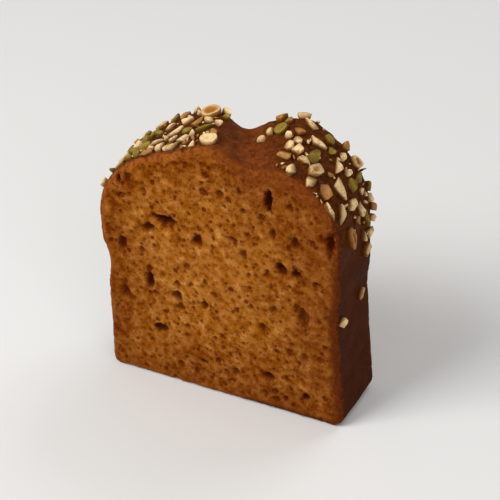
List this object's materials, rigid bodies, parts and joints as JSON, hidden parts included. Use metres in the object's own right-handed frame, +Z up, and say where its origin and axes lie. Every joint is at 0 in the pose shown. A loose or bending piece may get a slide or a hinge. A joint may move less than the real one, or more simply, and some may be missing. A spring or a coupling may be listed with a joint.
{
  "type": "pumpkin bread slice",
  "caption": "Thick slice of pumpkin loaf that stands on its bottom crust, with open crumb, brown crust, a cleft dome and chopped pumpkin seeds baked onto the top.",
  "frame": {"origin": "middle of the flat base, half way between the two cut faces", "axes": "+X across the loaf towards the right end of the front cut face, +Y along the loaf from the front cut face to the back one, +Z up"},
  "size_m": [0.0929, 0.028, 0.1056],
  "materials": {
    "bread": "matte golden-brown crumb with a dark brown, faintly glossy crust",
    "seed_cream": "dry cream flesh of a toasted, chopped pumpkin seed",
    "seed_tan": "toasted tan flesh of a chopped pumpkin seed, browner at its middle",
    "seed_green": "satin olive-green skin of a chopped pumpkin seed"
  },
  "bodies": {
    "root": {"bread_slice": "bread"}
  },
  "joints": []
}
